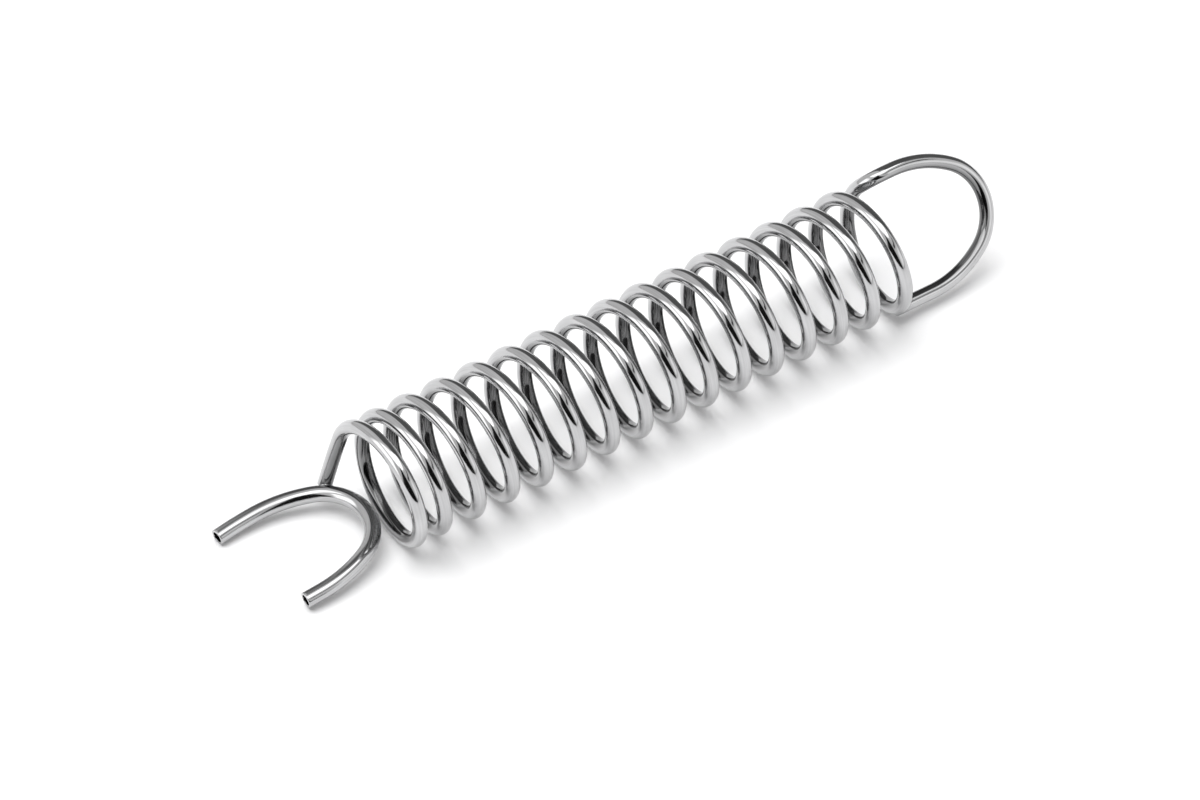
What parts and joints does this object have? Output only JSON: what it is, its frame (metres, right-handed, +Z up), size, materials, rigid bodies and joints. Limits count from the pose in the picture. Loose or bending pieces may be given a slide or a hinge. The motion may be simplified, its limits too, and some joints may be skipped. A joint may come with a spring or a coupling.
{
  "type": "extension spring",
  "caption": "Open-wound steel extension spring lying on its side, with a long oval eye at one end and a U-shaped tube fork at the other.",
  "frame": {"origin": "middle of the spring's footprint on the surface it lies on", "axes": "+X along the coil towards the eye, -X towards the fork, +Z up, +Y towards the side where the coil runs down to the fork"},
  "size_m": [0.1144, 0.021, 0.0185],
  "materials": {
    "spring_wire": "bright drawn spring steel",
    "fork_tube": "bright drawn steel tube"
  },
  "bodies": {
    "root": {"coil_with_eye": "spring_wire", "fork_hook": "fork_tube"}
  },
  "joints": []
}
